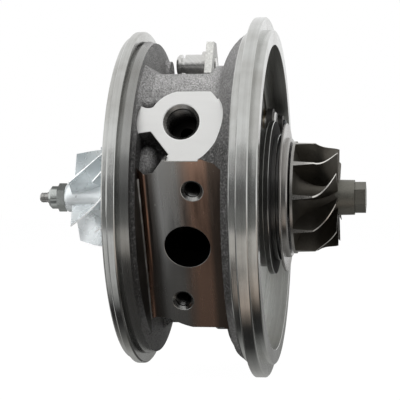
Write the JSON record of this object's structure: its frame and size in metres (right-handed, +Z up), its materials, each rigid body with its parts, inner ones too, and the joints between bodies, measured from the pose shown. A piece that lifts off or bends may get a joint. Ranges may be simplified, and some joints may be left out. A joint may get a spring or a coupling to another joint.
{
  "type": "turbo cartridge",
  "caption": "Turbocharger core: a cast bearing housing between two round flanges, with compressor and turbine wheels on one shaft, oil faces, heat shield and nozzle lever.",
  "frame": {"origin": "on the shaft axis, in the plane where the turbine casing meets the turbine rim", "axes": "+X along the shaft towards the turbine wheel, +Z up, the oil inlet and drain faces look towards -Y"},
  "size_m": [0.1056, 0.114, 0.114],
  "materials": {
    "cast_iron": "sand cast, milled and turned faces",
    "steel": "turned",
    "sheet_steel": "pressed sheet",
    "dark_steel": "hardened",
    "nickel_alloy": "cast, tips ground",
    "aluminium": "milled",
    "bronze": "turned",
    "rubber": "moulded",
    "lever_steel": "stamped"
  },
  "bodies": {
    "housing": {"bearing_housing": "cast_iron", "seal_plate": "steel", "seal_plate_o_ring": "rubber", "seal_plate_screws": "dark_steel", "compressor_seal_ring": "dark_steel", "turbine_seal_ring": "dark_steel", "oil_deflector": "sheet_steel", "thrust_bearing": "bronze", "bearing_circlips": "dark_steel", "heat_shield": "sheet_steel", "lever_bush": "bronze"},
    "rotor": {"rotor_shaft": "steel", "turbine_wheel": "nickel_alloy", "compressor_wheel": "aluminium", "compressor_nut": "steel", "seal_sleeve": "steel", "thrust_collar": "steel"},
    "compressor_journal": {"compressor_journal_bearing": "bronze"},
    "turbine_journal": {"turbine_journal_bearing": "bronze"},
    "lever": {"lever_arm": "lever_steel", "lever_pin": "steel", "lever_spindle": "steel", "crank_arm": "dark_steel", "crank_pin": "steel"},
    "roller": {"crank_roller": "dark_steel"}
  },
  "joints": [
    {"name": "rotor_spin", "type": "hinge", "parent": "housing", "child": "rotor", "pos_m": [0, 0, 0], "axis": [1, 0, 0], "continuous": true},
    {"name": "compressor_journal_spin", "type": "hinge", "parent": "housing", "child": "compressor_journal", "pos_m": [-0.0245, 0, 0], "axis": [1, 0, 0], "continuous": true},
    {"name": "turbine_journal_spin", "type": "hinge", "parent": "housing", "child": "turbine_journal", "pos_m": [-0.006, 0, 0], "axis": [1, 0, 0], "continuous": true},
    {"name": "lever_swing", "type": "hinge", "parent": "housing", "child": "lever", "pos_m": [-0.021, 0.027, 0.025], "axis": [1, 0, 0], "range_deg": [-30, 8]},
    {"name": "roller_spin", "type": "hinge", "parent": "lever", "child": "roller", "pos_m": [-0.0005, 0.035, 0.025], "axis": [1, 0, 0], "continuous": true}
  ]
}
